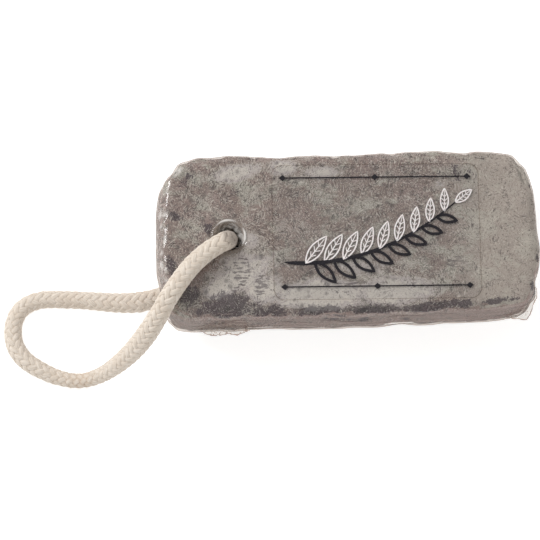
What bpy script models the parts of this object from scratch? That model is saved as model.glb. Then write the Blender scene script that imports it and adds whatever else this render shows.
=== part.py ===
"""A bath pumice stone on a cotton cord, still in its clear shrink film, with a clear label.

The stone is a sawn bar with worn edges, drilled near its left end. The cord runs out of the top of
the drilled hole, over a corner of the stone, round in a loop on the surface below, back under the
raised left end and up into the hole again. Everything is in metres, +Z up, +X along the stone.
"""

import math

import bmesh
import bpy
import numpy as np
from mathutils import Vector, noise

MM = 0.001

# The stone, in its own frame: x along its length, y across it, z up from its sawn underside.
# Each corner of its plan is x, y and the radius that rounds it, anticlockwise from the front left.
STONE_PLAN = (
    (-51.8 * MM, -23.7 * MM, 7.5 * MM),
    (0.0 * MM, -23.0 * MM, 200.0 * MM),
    (38.0 * MM, -21.7 * MM, 60.0 * MM),
    (52.2 * MM, -20.0 * MM, 6.0 * MM),
    (54.3 * MM, -6.0 * MM, 25.0 * MM),
    (52.4 * MM, 23.9 * MM, 9.0 * MM),
    (-54.4 * MM, 23.0 * MM, 12.5 * MM),
    (-54.6 * MM, -7.0 * MM, 24.0 * MM),
)
STONE_THICKNESS = 24.0 * MM
STONE_EDGE_RADIUS = 2.5 * MM
STONE_VOXEL = 0.9 * MM
STONE_KEPT_FACES = 0.14  # share of the fine mesh's faces that the finished solid keeps

BORE_CENTRE = (-34.7 * MM, -0.2 * MM)
BORE_RADIUS = 4.4 * MM
BORE_TOP_ROUNDING = 1.4 * MM
BORE_BOTTOM_ROUNDING = 2.5 * MM

# How the stone lies: its left end is up on the cord, its right end is on the surface
STONE_TILT = math.radians(3.3)
STONE_POSE = (-0.44 * MM, -0.07 * MM)

# Worn surface of the stone, always cut inwards from the sawn form
WAVE_SIZE = 26.0 * MM
WAVE_DEPTH = 0.5 * MM
CRUMB_SIZE = 6.5 * MM
CRUMB_DEPTH = 1.0 * MM
EDGE_WEAR_DEPTH = 1.3 * MM
EDGE_WEAR_REACH = 4.5 * MM
PIT_SPACING = 8.0 * MM
PIT_RADIUS = 2.4 * MM
PIT_DEPTH = 1.5 * MM
GROOVE_LENGTH = 16.0 * MM
GROOVE_WIDTH = 4.2 * MM
GROOVE_DEPTH = 0.9 * MM

# The shrink film, a thin skin all over the stone with a hole at each end of the bore
SKIN_GAP = 0.3 * MM
FILM_THICKNESS = 0.25 * MM
FILM_TOP_HOLE_RADIUS = 4.8 * MM
FILM_BOTTOM_HOLE_RADIUS = 6.0 * MM
FILM_LIP_DEPTH = 0.35 * MM
FILM_STEP = 4.0 * MM
SEAM_HEIGHT = 8.5 * MM
SEAM_HALF_WIDTH = 1.3 * MM
SEAM_RIDGE = 0.45 * MM
# Folded corners of the film: where along x and y, how far each stands out and how wide it is
FILM_EARS = (
    (53.0 * MM, -19.0 * MM, 2.6 * MM, 3.6 * MM),
    (-36.0 * MM, -23.5 * MM, 1.3 * MM, 7.0 * MM),
)
FILM_CUTS = (-12.0 * MM, 4.0 * MM, 30.0 * MM)  # lines across its underside that keep facets short

# The clear label on top of the film
LABEL_CENTRE = (7.6 * MM, 0.7 * MM)
LABEL_SIZE = (59.6 * MM, 39.4 * MM)
LABEL_CORNER = 3.0 * MM
LABEL_THICKNESS = 0.25 * MM

# The cord, in the part's frame: its route from the middle of the bore, out of the top and back
CORD_DIAMETER = 5.0 * MM
CORD_POINTS = 72
CORD_ROUTE_MM = (
    (-33.8, 0.1, 17.85),
    (-33.95, -0.15, 21.5),
    (-34.0, -0.65, 25.4),
    (-34.1, -1.35, 28.9),
    (-35.1, -2.3, 32.0),
    (-37.3, -3.8, 33.7),
    (-40.5, -6.0, 34.1),
    (-44.3, -9.4, 34.2),
    (-47.8, -13.7, 34.2),
    (-51.1, -18.3, 33.5),
    (-54.4, -23.1, 29.7),
    (-58.0, -27.4, 24.4),
    (-62.1, -31.0, 18.4),
    (-66.9, -33.9, 12.2),
    (-72.1, -36.0, 7.0),
    (-77.9, -36.8, 3.7),
    (-83.9, -35.6, 2.55),
    (-89.6, -33.0, 2.5),
    (-94.3, -29.6, 2.5),
    (-96.9, -24.9, 2.5),
    (-96.9, -19.2, 2.5),
    (-94.3, -14.8, 2.5),
    (-89.1, -12.6, 2.5),
    (-81.7, -12.6, 2.5),
    (-73.7, -13.2, 2.5),
    (-66.1, -13.9, 2.5),
    (-59.1, -13.6, 2.5),
    (-52.3, -11.4, 2.5),
    (-46.1, -7.9, 2.5),
    (-40.3, -4.1, 2.5),
    (-36.9, -1.6, 3.7),
    (-34.5, 0.1, 6.6),
    (-33.45, 0.6, 10.5),
    (-33.8, 0.1, 17.5),
)


def clear_scene():
    for item in list(bpy.data.objects):
        bpy.data.objects.remove(item, do_unlink=True)


def add_material(name, colour, roughness, alpha=1.0):
    material = bpy.data.materials.new(name)
    material.use_nodes = True
    shader = material.node_tree.nodes["Principled BSDF"]
    shader.inputs["Base Color"].default_value = (*colour, 1.0)
    shader.inputs["Roughness"].default_value = roughness
    shader.inputs["Metallic"].default_value = 0.0
    shader.inputs["Alpha"].default_value = alpha
    return material


def add_object(name, data, material=None):
    item = bpy.data.objects.new(name, data)
    bpy.context.scene.collection.objects.link(item)
    if material:
        data.materials.append(material)
    return item


def rounded_outline(corners, step):
    """Evenly spaced points, about step apart, along a closed polygon with rounded corners."""
    plan = [Vector(corner[:2]) for corner in corners]
    track = []
    for index, (x, y, radius) in enumerate(corners):
        here = Vector((x, y))
        back = (plan[index - 1] - here).normalized()
        ahead = (plan[(index + 1) % len(plan)] - here).normalized()
        half_angle = back.angle(ahead) / 2
        centre = here + (back + ahead).normalized() * radius / math.sin(half_angle)
        first = here + back * radius / math.tan(half_angle) - centre
        sweep = math.pi - 2 * half_angle
        for turn in np.linspace(0, sweep, 13):
            cos, sin = math.cos(turn), math.sin(turn)
            spoke = Vector((first.x * cos - first.y * sin, first.x * sin + first.y * cos))
            track.append(centre + spoke)
    track = np.array([tuple(point) for point in track + track[:1]])
    along = np.concatenate([[0], np.cumsum(np.linalg.norm(np.diff(track, axis=0), axis=1))])
    count = round(along[-1] / step)
    places = np.linspace(0, along[-1], count, endpoint=False)
    return np.stack([np.interp(places, along, track[:, axis]) for axis in (0, 1)], axis=1)


def outward(outline):
    """The unit normals of a closed anticlockwise outline."""
    run = np.roll(outline, -1, axis=0) - np.roll(outline, 1, axis=0)
    normals = np.stack([run[:, 1], -run[:, 0]], axis=1)
    return normals / np.linalg.norm(normals, axis=1, keepdims=True)


def edge_profile(grow, turns):
    """Pairs of outward shift and height, up the rounded edges of a slab grown by grow."""
    radius = STONE_EDGE_RADIUS + grow
    arc = np.linspace(0, math.pi / 2, turns)
    lower = [(radius * math.sin(a) - STONE_EDGE_RADIUS, -radius * math.cos(a)) for a in arc]
    lower = [(shift, STONE_EDGE_RADIUS + height) for shift, height in lower]
    upper = [(shift, STONE_THICKNESS - height) for shift, height in reversed(lower)]
    return lower, upper


def add_ring(mesh, outline, height):
    return [mesh.verts.new((x, y, height)) for x, y in outline]


def bridge(mesh, below, above):
    for index, vert in enumerate(below):
        follow = (index + 1) % len(below)
        mesh.faces.new((vert, below[follow], above[follow], above[index]))


def ring_edges(mesh, ring):
    found = []
    for index, vert in enumerate(ring):
        other = ring[(index + 1) % len(ring)]
        found.append(mesh.edges.get((vert, other)) or mesh.edges.new((vert, other)))
    return found


def finish_mesh(mesh, name):
    bmesh.ops.recalc_face_normals(mesh, faces=mesh.faces)
    data = bpy.data.meshes.new(name)
    mesh.to_mesh(data)
    mesh.free()
    return data


def evaluated_mesh(item):
    """The mesh that an object's modifiers make, as a mesh of its own."""
    graph = bpy.context.evaluated_depsgraph_get()
    return bpy.data.meshes.new_from_object(item.evaluated_get(graph))


def slab_mesh():
    """The sawn bar, before it is drilled and worn."""
    outline = rounded_outline(STONE_PLAN, 1.5 * MM)
    normals = outward(outline)
    mesh = bmesh.new()
    lower, upper = edge_profile(0.0, 6)
    rings = [add_ring(mesh, outline + normals * shift, z) for shift, z in lower + upper]
    for below, above in zip(rings, rings[1:]):
        bridge(mesh, below, above)
    mesh.faces.new(list(reversed(rings[0])))
    mesh.faces.new(rings[-1])
    return finish_mesh(mesh, "slab")


def bore_profile():
    """Radius and height up the drilled hole, with both of its mouths rounded over."""
    reach = 3 * MM
    low, high = BORE_BOTTOM_ROUNDING, BORE_TOP_ROUNDING
    turns = np.linspace(0, math.pi / 2, 7)
    points = [(BORE_RADIUS + low, -reach)]
    points += [(BORE_RADIUS + low * (1 - math.sin(a)), low * (1 - math.cos(a))) for a in turns]
    top = STONE_THICKNESS
    back = reversed(turns)
    points += [(BORE_RADIUS + high * (1 - math.sin(a)), top - high * (1 - math.cos(a))) for a in back]
    points.append((BORE_RADIUS + high, top + reach))
    return points


def bore_cutter():
    """The drill's form: the bore's profile turned about its axis."""
    mesh = bmesh.new()
    sides = 40
    rings = []
    for radius, height in bore_profile():
        turns = [2 * math.pi * side / sides for side in range(sides)]
        circle = [(radius * math.cos(a), radius * math.sin(a)) for a in turns]
        rings.append(add_ring(mesh, np.array(circle) + np.array(BORE_CENTRE), height))
    for below, above in zip(rings, rings[1:]):
        bridge(mesh, below, above)
    mesh.faces.new(list(reversed(rings[0])))
    mesh.faces.new(rings[-1])
    cutter = add_object("bore_cutter", finish_mesh(mesh, "bore_cutter"))
    cutter.hide_render = True
    cutter.display_type = "WIRE"
    return cutter


def smooth_step(value, low, high):
    share = min(max((value - low) / (high - low), 0.0), 1.0)
    return share * share * (3 - 2 * share)


def pit_depth(place):
    """Round vesicles, one in most cells of a Voronoi pattern, each with its own size."""
    distances, centres = noise.voronoi(place / PIT_SPACING)
    size = PIT_RADIUS * (0.65 + 0.35 * noise.cell(centres[0] * 7.3))
    share = distances[0] * PIT_SPACING / size
    return PIT_DEPTH * math.sqrt(size / PIT_RADIUS) * max(0.0, 1 - share * share)


def groove_depth(place):
    """Drawn-out vesicles: shallow troughs that curve along the stone's grain."""
    bend = noise.noise(place / (40 * MM)) * 0.9 + 0.5
    along = place.x * math.cos(bend) + place.y * math.sin(bend)
    across = place.y * math.cos(bend) - place.x * math.sin(bend)
    sample = Vector((along / GROOVE_LENGTH, across / GROOVE_WIDTH, place.z / GROOVE_WIDTH))
    return GROOVE_DEPTH * smooth_step(noise.noise(sample), 0.05, 0.55)


def edge_closeness(normal):
    """0 on the flat faces and sides, 1 in the middle of a rounded edge."""
    level = abs(normal.z)
    return smooth_step(level, 0.05, 0.5) * (1 - smooth_step(level, 0.8, 0.995))


def wear_depth(place, normal, edge):
    wave = noise.noise(place / WAVE_SIZE) * 0.5 + 0.5
    crumb = abs(noise.noise(place / CRUMB_SIZE + Vector((4.1, 7.7, 1.3))))
    chip = smooth_step(noise.noise(place / EDGE_WEAR_REACH + Vector((9.0, 2.0, 5.0))), -0.2, 0.5)
    depth = WAVE_DEPTH * wave + CRUMB_DEPTH * crumb * (0.35 + 0.65 * edge)
    depth += EDGE_WEAR_DEPTH * chip * edge
    return depth + pit_depth(place) + groove_depth(place)


def near_bore(place):
    """1 inside the bore and at its rims, where the drill left the wall clean, falling to 0."""
    reach = math.hypot(place.x - BORE_CENTRE[0], place.y - BORE_CENTRE[1])
    return 1 - smooth_step(reach, BORE_RADIUS + 1.5 * MM, BORE_RADIUS + 5 * MM)


def wear_down(data):
    """Move each point of the drilled bar inwards by the wear at its place."""
    places = [vert.co.copy() for vert in data.vertices]
    normals = [vert.normal.copy() for vert in data.vertices]
    for vert, place, normal in zip(data.vertices, places, normals):
        clean = near_bore(place)
        depth = wear_depth(place, normal, edge_closeness(normal))
        vert.co = place - normal * depth * (1 - 0.9 * clean)
    data.update()


def make_stone(material):
    bar = add_object("bar", slab_mesh())
    bore = bar.modifiers.new("bore", "BOOLEAN")
    bore.operation = "DIFFERENCE"
    bore.object = bore_cutter()
    even = bar.modifiers.new("even", "REMESH")
    even.mode = "VOXEL"
    even.voxel_size = STONE_VOXEL
    worn = evaluated_mesh(bar)
    bpy.data.objects.remove(bar, do_unlink=True)
    wear_down(worn)
    stone = add_object("pumice_stone", worn, material)
    fewer = stone.modifiers.new("fewer", "DECIMATE")
    fewer.ratio = STONE_KEPT_FACES
    fewer.use_collapse_triangulate = True
    return stone


def film_rise(x, y, height):
    """How far the film stands off its even gap, at its seam and at its folded corners."""
    band = max(0.0, 1 - abs(height - SEAM_HEIGHT) / SEAM_HALF_WIDTH)
    rise = SEAM_RIDGE
    for ear_x, ear_y, reach, width in FILM_EARS:
        away = math.hypot(x - ear_x, y - ear_y) / width
        rise = max(rise, reach * max(0.0, 1 - away * away))
    return rise * band


def film_ring(mesh, outline, normals, shift, height):
    extra = np.array([film_rise(x, y, height) for x, y in outline])
    return add_ring(mesh, outline + normals * (shift + extra)[:, None], height)


def film_face(mesh, outer, hole_radius, height, dip):
    """A flat face of film from its outer ring to a hole over the bore with a turned-in lip."""
    turns = [2 * math.pi * side / 24 for side in range(24)]
    circle = np.array([(math.cos(a), math.sin(a)) for a in turns])
    rim = add_ring(mesh, circle * hole_radius + np.array(BORE_CENTRE), height)
    lip_radius = hole_radius - abs(dip) / 2
    lip = add_ring(mesh, circle * lip_radius + np.array(BORE_CENTRE), height + dip)
    bridge(mesh, rim, lip)
    edges = ring_edges(mesh, outer) + ring_edges(mesh, rim)
    bmesh.ops.triangle_fill(mesh, edges=edges, use_beauty=True)


def make_film(material):
    outline = rounded_outline(STONE_PLAN, FILM_STEP)
    normals = outward(outline)
    lower, upper = edge_profile(SKIN_GAP, 4)
    side_shift = lower[-1][0]
    band = [SEAM_HEIGHT + SEAM_HALF_WIDTH * step for step in (-1, 0, 1)]
    levels = lower + [(side_shift, height) for height in band] + upper
    mesh = bmesh.new()
    rings = [film_ring(mesh, outline, normals, shift, height) for shift, height in levels]
    for below, above in zip(rings, rings[1:]):
        bridge(mesh, below, above)
    film_face(mesh, rings[0], FILM_BOTTOM_HOLE_RADIUS, levels[0][1], FILM_LIP_DEPTH)
    film_face(mesh, rings[-1], FILM_TOP_HOLE_RADIUS, levels[-1][1], -FILM_LIP_DEPTH)
    for cut in FILM_CUTS:
        everything = mesh.verts[:] + mesh.edges[:] + mesh.faces[:]
        bmesh.ops.bisect_plane(mesh, geom=everything, plane_co=(cut, 0, 0), plane_no=(1, 0, 0))
    film = add_object("shrink_film", finish_mesh(mesh, "shrink_film"), material)
    wall = film.modifiers.new("wall", "SOLIDIFY")
    wall.thickness = FILM_THICKNESS
    wall.offset = 1.0
    wall.use_quality_normals = True
    return film


def make_label(material):
    centre_x, centre_y = LABEL_CENTRE
    half_x, half_y = LABEL_SIZE[0] / 2, LABEL_SIZE[1] / 2
    signs = ((-1, -1), (1, -1), (1, 1), (-1, 1))
    corners = [(centre_x + sx * half_x, centre_y + sy * half_y, LABEL_CORNER) for sx, sy in signs]
    outline = rounded_outline(corners, 2.0 * MM)
    base = STONE_THICKNESS + SKIN_GAP + FILM_THICKNESS + SKIN_GAP
    mesh = bmesh.new()
    below = add_ring(mesh, outline, base)
    above = add_ring(mesh, outline, base + LABEL_THICKNESS)
    bridge(mesh, below, above)
    mesh.faces.new(list(reversed(below)))
    mesh.faces.new(above)
    return add_object("clear_label", finish_mesh(mesh, "clear_label"), material)


def smooth_route(points, count):
    """Even steps along a Catmull-Rom curve through the route's points."""
    ends = [2 * points[0] - points[1]] + list(points) + [2 * points[-1] - points[-2]]
    fine = []
    for before, start, end, after in zip(ends, ends[1:], ends[2:], ends[3:]):
        for t in np.linspace(0, 1, 12, endpoint=False):
            bend = 2 * before - 5 * start + 4 * end - after
            swing = 3 * start - before - 3 * end + after
            fine.append((2 * start + (end - before) * t + bend * t**2 + swing * t**3) / 2)
    fine = np.array(fine + [points[-1]])
    along = np.concatenate([[0], np.cumsum(np.linalg.norm(np.diff(fine, axis=0), axis=1))])
    places = np.linspace(0, along[-1], count)
    return np.stack([np.interp(places, along, fine[:, axis]) for axis in range(3)], axis=1)


def make_cord(material):
    route = smooth_route(np.array(CORD_ROUTE_MM) * MM, CORD_POINTS)
    curve = bpy.data.curves.new("cord_loop", "CURVE")
    curve.dimensions = "3D"
    curve.bevel_depth = CORD_DIAMETER / 2
    curve.bevel_resolution = 2
    curve.use_fill_caps = True
    spline = curve.splines.new("POLY")
    spline.points.add(len(route) - 1)
    for point, place in zip(spline.points, route):
        point.co = (*place, 1.0)
    return add_object("cord_loop", curve, material)


def lay_down(items):
    """Tilt the stone and what wraps it, and set the film's lowest line on the surface."""
    pose = add_object("stone_pose", None)
    pose.rotation_euler = (0.0, STONE_TILT, 0.0)
    turning_x = max(corner[0] for corner in STONE_PLAN) - STONE_EDGE_RADIUS
    sunk = turning_x * math.sin(STONE_TILT) - STONE_EDGE_RADIUS * math.cos(STONE_TILT)
    skin = STONE_EDGE_RADIUS + SKIN_GAP + FILM_THICKNESS
    pose.location = (*STONE_POSE, sunk + skin)
    for item in items:
        item.parent = pose


def main():
    clear_scene()
    stone = make_stone(add_material("pumice", (0.36, 0.34, 0.32), 0.95))
    film = make_film(add_material("clear_film", (0.9, 0.9, 0.9), 0.08, 0.3))
    label = make_label(add_material("clear_label_film", (0.92, 0.92, 0.92), 0.15, 0.4))
    make_cord(add_material("cotton", (0.80, 0.75, 0.66), 0.9))
    for item in (stone, film):
        item.data.shade_smooth()
    lay_down((stone, film, label))


main()
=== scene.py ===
"""Looks for a bath pumice stone on a cotton cord, in clear shrink film with a clear printed label."""

import math

import bmesh
import bpy
import numpy as np
from mathutils import Matrix, Vector
from mathutils.bvhtree import BVHTree


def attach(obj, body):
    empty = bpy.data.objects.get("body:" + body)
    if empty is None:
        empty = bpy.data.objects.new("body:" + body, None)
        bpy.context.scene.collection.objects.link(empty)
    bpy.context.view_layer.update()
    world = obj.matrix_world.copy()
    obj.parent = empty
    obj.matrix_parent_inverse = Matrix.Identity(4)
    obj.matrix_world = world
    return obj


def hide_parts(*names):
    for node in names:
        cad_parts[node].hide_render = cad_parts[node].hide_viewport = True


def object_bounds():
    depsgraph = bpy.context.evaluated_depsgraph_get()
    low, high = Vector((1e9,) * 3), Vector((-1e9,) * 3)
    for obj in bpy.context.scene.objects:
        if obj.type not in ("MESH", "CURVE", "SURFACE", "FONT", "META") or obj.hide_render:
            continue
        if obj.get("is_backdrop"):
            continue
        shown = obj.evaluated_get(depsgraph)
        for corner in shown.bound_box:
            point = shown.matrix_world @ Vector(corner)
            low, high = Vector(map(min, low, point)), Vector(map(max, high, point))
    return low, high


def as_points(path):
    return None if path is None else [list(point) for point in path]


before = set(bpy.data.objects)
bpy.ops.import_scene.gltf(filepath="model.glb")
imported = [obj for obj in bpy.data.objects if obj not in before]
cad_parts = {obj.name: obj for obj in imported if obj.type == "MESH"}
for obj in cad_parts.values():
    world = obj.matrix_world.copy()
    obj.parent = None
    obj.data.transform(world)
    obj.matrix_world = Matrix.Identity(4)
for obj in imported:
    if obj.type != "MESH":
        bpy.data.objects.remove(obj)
CAD_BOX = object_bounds()

MM = 0.001
BODY = "root"

# The camera looks almost straight down from the front, through a long lens
IMAGE_SIDE = 540
CAMERA_DISTANCE = 1400 * MM
SCENE_PER_PIXEL = 0.289 * MM
CAMERA_ELEVATION = math.radians(79.0)
CAMERA_ROLL = math.radians(1.3)
CAMERA_TARGET = Vector((-22.2, -7.0, 12.0)) * MM

# The wrapped stone's own frame: x along it, z up from its sawn underside, tilted by the cord
STONE_TILT = math.radians(3.3)
STONE_ORIGIN = Vector((-0.44, -0.07, 3.536)) * MM
STONE_THICKNESS = 24.0 * MM
STONE_EDGE_RADIUS = 2.5 * MM
BORE_CENTRE = Vector((-34.7, -0.2)) * MM
BORE_RADIUS = 4.4 * MM

# The cord: the route that the model's own cord follows, from inside the bore, out of its top,
# round on the surface and back up into the bore from below
CORD_ROUTE_MM = (
    (-33.8, 0.1, 17.85),
    (-33.95, -0.15, 21.5),
    (-34.0, -0.65, 25.4),
    (-34.1, -1.35, 28.9),
    (-35.1, -2.3, 32.0),
    (-37.3, -3.8, 33.7),
    (-40.5, -6.0, 34.1),
    (-44.3, -9.4, 34.2),
    (-47.8, -13.7, 34.2),
    (-51.1, -18.3, 33.5),
    (-54.4, -23.1, 29.7),
    (-58.0, -27.4, 24.4),
    (-62.1, -31.0, 18.4),
    (-66.9, -33.9, 12.2),
    (-72.1, -36.0, 7.0),
    (-77.9, -36.8, 3.7),
    (-83.9, -35.6, 2.55),
    (-89.6, -33.0, 2.5),
    (-94.3, -29.6, 2.5),
    (-96.9, -24.9, 2.5),
    (-96.9, -19.2, 2.5),
    (-94.3, -14.8, 2.5),
    (-89.1, -12.6, 2.5),
    (-81.7, -12.6, 2.5),
    (-73.7, -13.2, 2.5),
    (-66.1, -13.9, 2.5),
    (-59.1, -13.6, 2.5),
    (-52.3, -11.4, 2.5),
    (-46.1, -7.9, 2.5),
    (-40.3, -4.1, 2.5),
    (-36.9, -1.6, 3.7),
    (-34.5, 0.1, 6.6),
    (-33.45, 0.6, 10.5),
    (-33.8, 0.1, 17.5),
)
CORD_STEP = 0.5 * MM
BRAID_PITCH = 18.8 * MM  # one turn of a yarn round the cord
BRAID_YARNS_EACH_WAY = 8
YARN_WIDTH = 1.7 * MM
YARN_THICKNESS = 0.85 * MM
YARN_LIFT = 0.28 * MM  # how far a yarn rises and sinks as it passes over two and under two
YARN_SIDES = 10
CORE_RADIUS = 1.55 * MM
BRAID_RADIUS = 2.62 * MM  # to the crowns of the yarns
# How full the soft braid stands along its length: millimetres from its start, share of its radius
CORD_FULLNESS = (
    (0, 1.0),
    (9, 1.08),
    (42, 1.10),
    (52, 1.21),
    (58, 1.18),
    (67, 1.05),
    (75, 0.90),
    (82, 0.82),
    (89, 0.86),
    (97, 0.98),
    (105, 1.04),
    (118, 0.98),
    (137, 1.0),
    (146, 1.10),
    (153, 1.19),
    (160, 1.0),
    (197, 0.97),
)
FUZZ_COUNT = 3600
FUZZ_LENGTH = 1.5 * MM
FUZZ_THICKNESS = 0.022 * MM  # about twice a cotton fibre, so that it shows


# ---------------------------------------------------------------- small helpers


def linear(hex_colour):
    """An sRGB hex colour as the linear RGBA that Blender's sockets hold."""
    parts = [int(hex_colour[i : i + 2], 16) / 255 for i in (1, 3, 5)]
    values = [c / 12.92 if c <= 0.04045 else ((c + 0.055) / 1.055) ** 2.4 for c in parts]
    return (*values, 1.0)


def add_node(tree, kind, inputs=None, **settings):
    """A node with its settings and its inputs, each a value or the output that it is linked from."""
    made = tree.nodes.new(kind)
    for name, value in settings.items():
        setattr(made, name, value)
    for socket, value in (inputs or {}).items():
        if isinstance(value, bpy.types.NodeSocket):
            tree.links.new(value, made.inputs[socket])
        else:
            made.inputs[socket].default_value = value
    return next(output for output in made.outputs if output.enabled) if made.outputs else made


def new_material(name):
    material = bpy.data.materials.new(name)
    material.use_nodes = True
    material.node_tree.nodes.clear()
    return material, material.node_tree


def laid_on(tree, ground, layers):
    """Colours laid over a ground one after another. A layer is its colour, the pattern it follows,
    where that starts and is full, and how much of the colour is laid on there."""
    tone = linear(ground) if isinstance(ground, str) else ground
    for colour, pattern, start, full, most in layers:
        share = add_node(
            tree,
            "ShaderNodeMapRange",
            {"Value": pattern, "From Min": start, "From Max": full, "To Max": most},
            interpolation_type="SMOOTHSTEP",
        )
        tone = add_node(
            tree,
            "ShaderNodeMix",
            {"Factor": share, "A": tone, "B": linear(colour)},
            data_type="RGBA",
        )
    return tone


def glossy_sheet(tree, tint, bump, dimming, mirroring, roughness):
    """A clear sheet, too thin to bend what is seen, that mirrors more and lets less through the
    more it is seen from its edge."""
    facing = add_node(tree, "ShaderNodeLayerWeight", {"Blend": 0.5, "Normal": bump})
    facing = facing.node.outputs["Facing"]
    steep = add_node(tree, "ShaderNodeMath", {0: facing, 1: 5.0}, operation="POWER")
    mirror = add_node(
        tree, "ShaderNodeMath", {0: steep, 1: 0.13, 2: mirroring}, operation="MULTIPLY_ADD"
    )
    tint = laid_on(tree, tint, (("#B0A096", facing, 0.5, 1.0, dimming),))
    clear = add_node(tree, "ShaderNodeBsdfTransparent", {"Color": tint})
    gloss = add_node(
        tree,
        "ShaderNodeBsdfAnisotropic",
        {"Color": linear("#FFFFFF"), "Roughness": roughness, "Normal": bump},
    )
    return add_node(tree, "ShaderNodeMixShader", {0: mirror, 1: clear, 2: gloss})


def new_object(name, data, material=None):
    item = bpy.data.objects.new(name, data)
    bpy.context.scene.collection.objects.link(item)
    if material:
        data.materials.clear()
        data.materials.append(material)
    return item


def mesh_from(name, points, faces, smooth=True):
    data = bpy.data.meshes.new(name)
    data.from_pydata([tuple(point) for point in points], [], faces)
    data.validate()
    data.update()
    if smooth:
        data.shade_smooth()
    return data


def stone_to_scene():
    """The matrix from the stone's own frame to the scene's."""
    return Matrix.Translation(STONE_ORIGIN) @ Matrix.Rotation(STONE_TILT, 4, "Y")


def above_table(points):
    """The same points of the stone's own frame, none of them lower than the table."""
    down = (STONE_ORIGIN.z - 0.07 * MM - math.sin(STONE_TILT) * points[:, 0]) / math.cos(STONE_TILT)
    points[:, 2] = np.maximum(points[:, 2], -down)
    return points


def as_array(data):
    points = np.zeros(len(data.vertices) * 3)
    data.vertices.foreach_get("co", points)
    return points.reshape(-1, 3)


# ---------------------------------------------------------------- camera, light and floor


def add_camera():
    elevation, roll = CAMERA_ELEVATION, CAMERA_ROLL
    back = Vector((0.0, -math.cos(elevation), math.sin(elevation)))
    level = Vector((1.0, 0.0, 0.0))
    rise = back.cross(level)
    right = level * math.cos(roll) - rise * math.sin(roll)
    up = level * math.sin(roll) + rise * math.cos(roll)
    data = bpy.data.cameras.new("camera")
    data.sensor_width = 36.0
    data.lens = data.sensor_width * CAMERA_DISTANCE / (SCENE_PER_PIXEL * IMAGE_SIDE)
    data.clip_start = 0.05
    data.clip_end = 20.0
    camera = new_object("camera", data)
    turn = Matrix((right, up, back)).transposed().to_4x4()
    camera.matrix_world = Matrix.Translation(CAMERA_TARGET + back * CAMERA_DISTANCE) @ turn
    bpy.context.scene.camera = camera


def add_area_light(name, place, size, power):
    data = bpy.data.lights.new(name, "AREA")
    data.shape = "DISK"
    data.size = size
    data.energy = power
    light = new_object(name, data)
    light.location = place
    light.rotation_euler = (-Vector(place)).to_track_quat("-Z", "Y").to_euler()


def add_light():
    world = bpy.data.worlds.new("white_tent")
    world.use_nodes = True
    world.node_tree.nodes["Background"].inputs["Color"].default_value = linear("#FFFEFC")
    world.node_tree.nodes["Background"].inputs["Strength"].default_value = 0.62
    bpy.context.scene.world = world
    add_area_light("window_light", (-0.62, 0.42, 0.75), 0.5, 6.0)
    bpy.context.scene.view_settings.view_transform = "Standard"


def opal_table():
    """Opal acrylic, lit from behind: an even white with hardly any shadow."""
    material, tree = new_material("opal_light_table")
    shader = add_node(
        tree,
        "ShaderNodeBsdfPrincipled",
        {
            "Base Color": linear("#CFCFCE"),
            "Roughness": 1.0,
            "Specular IOR Level": 0.0,
            "Emission Color": linear("#FFFFFF"),
            "Emission Strength": 0.70,
        },
    )
    add_node(tree, "ShaderNodeOutputMaterial", {"Surface": shader})
    return material


def add_floor():
    half = 3.0
    corners = [(-half, -half, 0), (half, -half, 0), (half, half, 0), (-half, half, 0)]
    floor = new_object("floor", mesh_from("floor", corners, [(0, 1, 2, 3)], False), opal_table())
    floor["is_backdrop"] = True


# ---------------------------------------------------------------- the cord


def smooth_route():
    """Even small steps along a Catmull-Rom curve through the cord's route."""
    points = np.array(CORD_ROUTE_MM) * MM
    ends = [2 * points[0] - points[1], *points, 2 * points[-1] - points[-2]]
    fine = []
    for before, start, end, after in zip(ends, ends[1:], ends[2:], ends[3:]):
        for t in np.linspace(0, 1, 24, endpoint=False):
            bend = 2 * before - 5 * start + 4 * end - after
            swing = 3 * start - before - 3 * end + after
            fine.append((2 * start + (end - before) * t + bend * t**2 + swing * t**3) / 2)
    fine = np.array(fine + [points[-1]])
    along = np.concatenate([[0], np.cumsum(np.linalg.norm(np.diff(fine, axis=0), axis=1))])
    places = np.linspace(0, along[-1], round(along[-1] / CORD_STEP) + 1)
    line = np.stack([np.interp(places, along, fine[:, axis]) for axis in range(3)], axis=1)
    return line, places


def carried_frames(line):
    """A side and an upper direction at each point of a line, carried along it without twist."""
    heading = np.gradient(line, axis=0)
    heading /= np.linalg.norm(heading, axis=1, keepdims=True)
    side = np.cross(heading[0], (0.0, 1.0, 0.0))
    sides = []
    for direction in heading:
        side = side - direction * side.dot(direction)
        side /= np.linalg.norm(side)
        sides.append(side)
    sides = np.array(sides)
    return heading, sides, np.cross(heading, sides)


def ring_faces(rings, sides, start=0, closed_ends=True):
    """Quads between successive rings of a tube whose first point is number start."""
    faces = []
    for ring in range(rings - 1):
        base = start + ring * sides
        for side in range(sides):
            follow = (side + 1) % sides
            faces.append((base + side, base + follow, base + sides + follow, base + sides + side))
    if closed_ends:
        last = start + (rings - 1) * sides
        faces.append(tuple(range(start + sides - 1, start - 1, -1)))
        faces.append(tuple(range(last, last + sides)))
    return faces


def tube_points(line, across, out, half_width, half_height, sides):
    turns = np.linspace(0, 2 * math.pi, sides, endpoint=False)
    wide = np.cos(turns)[None, :, None] * across[:, None, :] * half_width
    high = np.sin(turns)[None, :, None] * out[:, None, :] * half_height
    return (line[:, None, :] + wide + high).reshape(-1, 3)


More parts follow.
